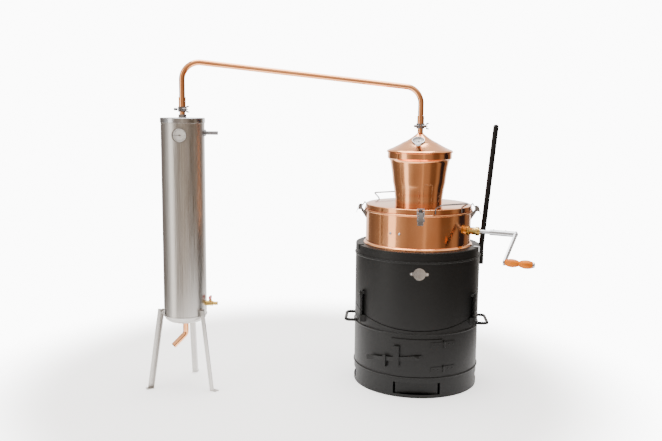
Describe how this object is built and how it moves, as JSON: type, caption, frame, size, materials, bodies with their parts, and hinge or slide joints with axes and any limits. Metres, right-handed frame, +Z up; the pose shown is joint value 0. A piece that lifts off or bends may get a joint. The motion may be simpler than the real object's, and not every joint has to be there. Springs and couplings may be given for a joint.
{
  "type": "alembic still",
  "caption": "Tilting copper pot still on a wood-fired steel stove, with a stirring crank, a vapour pipe and a condenser on legs.",
  "frame": {"origin": "on the floor under the middle of the stove", "axes": "+Z up, the fire door faces -Y, the condenser stands towards -X and the crank points towards +X"},
  "size_m": [1.4452, 0.6434, 1.2561],
  "materials": {
    "black_steel": "satin black heat-proof paint",
    "cast_iron": "raw casting",
    "copper": "polished copper",
    "brass": "polished brass",
    "stainless": "brushed",
    "gasket": "matt",
    "wood": "varnished",
    "red_paint": "gloss red",
    "black_paint": "matt black"
  },
  "bodies": {
    "stand": {"base_ring": "black_steel", "fire_grate": "cast_iron", "lower_shell": "black_steel", "flue_collar": "black_steel", "tilt_ears": "black_steel", "side_handles": "black_steel", "door_hinges": "black_steel", "keeper_hook": "black_steel", "condenser_tank": "stainless", "condenser_cap": "stainless", "condenser_base": "stainless", "cooling_coil": "copper", "condenser_neck": "brass", "tank_thermometer": "stainless", "water_nipple": "stainless", "drain_valve": "brass", "condenser_legs": "stainless", "distillate_spout": "copper"},
    "ash_tray": {"ash_tray": "black_steel"},
    "fire_door": {"fire_door": "black_steel"},
    "door_bar": {"door_latch_bar": "black_steel"},
    "kettle": {"upper_jacket": "black_steel", "jacket_top_ring": "black_steel", "tilt_pins": "black_steel", "pot": "copper", "hold_down_clips": "stainless", "name_plate": "stainless", "kettle_fasteners": "stainless", "lever_stub": "black_steel", "latch_bases": "stainless", "stirrer_bridge": "stainless", "crank_gland": "brass"},
    "tilt_lever": {"tilt_lever": "black_steel"},
    "crank": {"crank_shaft": "stainless", "crank_hub": "stainless", "crank_arm": "stainless", "bevel_pinion": "stainless"},
    "grip": {"crank_grip": "wood"},
    "stirrer": {"bevel_gear": "stainless", "stirrer_shaft": "stainless"},
    "lid": {"lid": "copper", "lid_gasket": "gasket", "lid_fittings": "stainless"},
    "hat": {"hat_shell": "copper", "hat_thermometer": "stainless"},
    "hat_needle": {"hat_thermometer_needle": "black_paint"},
    "tank_needle": {"tank_thermometer_needle": "black_paint"},
    "pipe": {"vapour_pipe": "copper", "pipe_clamps": "brass"},
    "head_nut": {"wing_nut_head": "brass"},
    "tank_nut": {"wing_nut_tank": "brass"},
    "valve_handle": {"valve_handle": "red_paint"},
    "latch_front": {"latch_lever_front": "stainless"},
    "loop_front": {"latch_loop_front": "stainless"},
    "latch_right": {"latch_lever_right": "stainless"},
    "loop_right": {"latch_loop_right": "stainless"},
    "latch_rear": {"latch_lever_rear": "stainless"},
    "loop_rear": {"latch_loop_rear": "stainless"},
    "latch_left": {"latch_lever_left": "stainless"},
    "loop_left": {"latch_loop_left": "stainless"}
  },
  "joints": [
    {"name": "kettle_tilt", "type": "hinge", "parent": "stand", "child": "kettle", "pos_m": [0, -0.13, 0.376], "axis": [1, 0, 0], "range_deg": [0, 85]},
    {"name": "ash_tray_pull", "type": "slide", "parent": "stand", "child": "ash_tray", "axis": [0, -1, 0], "range_m": [0, 0.35]},
    {"name": "door_swing", "type": "hinge", "parent": "stand", "child": "fire_door", "pos_m": [0.10049, -0.22892, 0.16], "axis": [0, 0, 1], "range_deg": [0, 130]},
    {"name": "door_bar_lift", "type": "hinge", "parent": "fire_door", "child": "door_bar", "pos_m": [0, -0.2532, 0.16], "axis": [0, 1, 0], "range_deg": [0, 20]},
    {"name": "lever_pull", "type": "slide", "parent": "kettle", "child": "tilt_lever", "axis": [0.0866, 0.0099, 0.9962], "range_m": [0, 0.09]},
    {"name": "crank_turn", "type": "hinge", "parent": "kettle", "child": "crank", "pos_m": [0, 0, 0.62], "axis": [0.9135, -0.4067, 0], "continuous": true},
    {"name": "grip_spin", "type": "hinge", "parent": "crank", "child": "grip", "pos_m": [0.30256, -0.29159, 0.53825], "axis": [0.9135, -0.4067, 0], "continuous": true},
    {"name": "stirrer_turn", "type": "hinge", "parent": "kettle", "child": "stirrer", "pos_m": [0, 0, 0.62], "axis": [0, 0, 1], "continuous": true},
    {"name": "lid_lift", "type": "slide", "parent": "kettle", "child": "lid", "axis": [0, 0, 1], "range_m": [0, 0.15]},
    {"name": "hat_lift", "type": "slide", "parent": "lid", "child": "hat", "axis": [0, 0, 1], "range_m": [0, 0.075]},
    {"name": "pipe_lift", "type": "slide", "parent": "stand", "child": "pipe", "axis": [0, 0, 1], "range_m": [0, 0.3]},
    {"name": "hat_needle_turn", "type": "hinge", "parent": "hat", "child": "hat_needle", "pos_m": [-0.0092, -0.08752, 0.942], "axis": [-0.0538, -0.5122, 0.8572], "range_deg": [-225, 45]},
    {"name": "tank_needle_turn", "type": "hinge", "parent": "stand", "child": "tank_needle", "pos_m": [-0.8986, -0.1661, 0.977], "axis": [0.1305, -0.9914, 0], "range_deg": [-225, 45]},
    {"name": "head_nut_turn", "type": "hinge", "parent": "pipe", "child": "head_nut", "pos_m": [0, -0.0215, 1.0155], "axis": [1, 0, 0], "continuous": true},
    {"name": "tank_nut_turn", "type": "hinge", "parent": "pipe", "child": "tank_nut", "pos_m": [-0.8986, -0.1876, 1.0715], "axis": [1, 0, 0], "continuous": true},
    {"name": "valve_turn", "type": "hinge", "parent": "stand", "child": "valve_handle", "pos_m": [-0.8006, -0.1661, 0.345], "axis": [0, 0, 1], "range_deg": [0, 90]},
    {"name": "latch_front_swing", "type": "hinge", "parent": "kettle", "child": "latch_front", "pos_m": [0, -0.227, 0.702], "axis": [-1, 0, 0], "range_deg": [0, 120]},
    {"name": "loop_front_swing", "type": "hinge", "parent": "latch_front", "child": "loop_front", "pos_m": [0, -0.2315, 0.688], "axis": [-1, 0, 0], "range_deg": [-138, 0]},
    {"name": "latch_right_swing", "type": "hinge", "parent": "kettle", "child": "latch_right", "pos_m": [0.227, 0, 0.702], "axis": [0, -1, 0], "range_deg": [0, 120]},
    {"name": "loop_right_swing", "type": "hinge", "parent": "latch_right", "child": "loop_right", "pos_m": [0.2315, 0, 0.688], "axis": [0, -1, 0], "range_deg": [-138, 0]},
    {"name": "latch_rear_swing", "type": "hinge", "parent": "kettle", "child": "latch_rear", "pos_m": [0, 0.227, 0.702], "axis": [1, 0, 0], "range_deg": [0, 120]},
    {"name": "loop_rear_swing", "type": "hinge", "parent": "latch_rear", "child": "loop_rear", "pos_m": [0, 0.2315, 0.688], "axis": [1, 0, 0], "range_deg": [-138, 0]},
    {"name": "latch_left_swing", "type": "hinge", "parent": "kettle", "child": "latch_left", "pos_m": [-0.227, 0, 0.702], "axis": [0, 1, 0], "range_deg": [0, 120]},
    {"name": "loop_left_swing", "type": "hinge", "parent": "latch_left", "child": "loop_left", "pos_m": [-0.2315, 0, 0.688], "axis": [0, 1, 0], "range_deg": [-138, 0]}
  ],
  "couplings": [
    {"joint": "stirrer_turn", "follows": "crank_turn", "ratio": 1},
    {"joint": "hat_lift", "follows": "lid_lift", "ratio": 0.5},
    {"joint": "pipe_lift", "follows": "lid_lift", "ratio": 2},
    {"joint": "loop_front_swing", "follows": "latch_front_swing", "ratio": -1.15},
    {"joint": "loop_right_swing", "follows": "latch_right_swing", "ratio": -1.15},
    {"joint": "loop_rear_swing", "follows": "latch_rear_swing", "ratio": -1.15},
    {"joint": "loop_left_swing", "follows": "latch_left_swing", "ratio": -1.15}
  ]
}
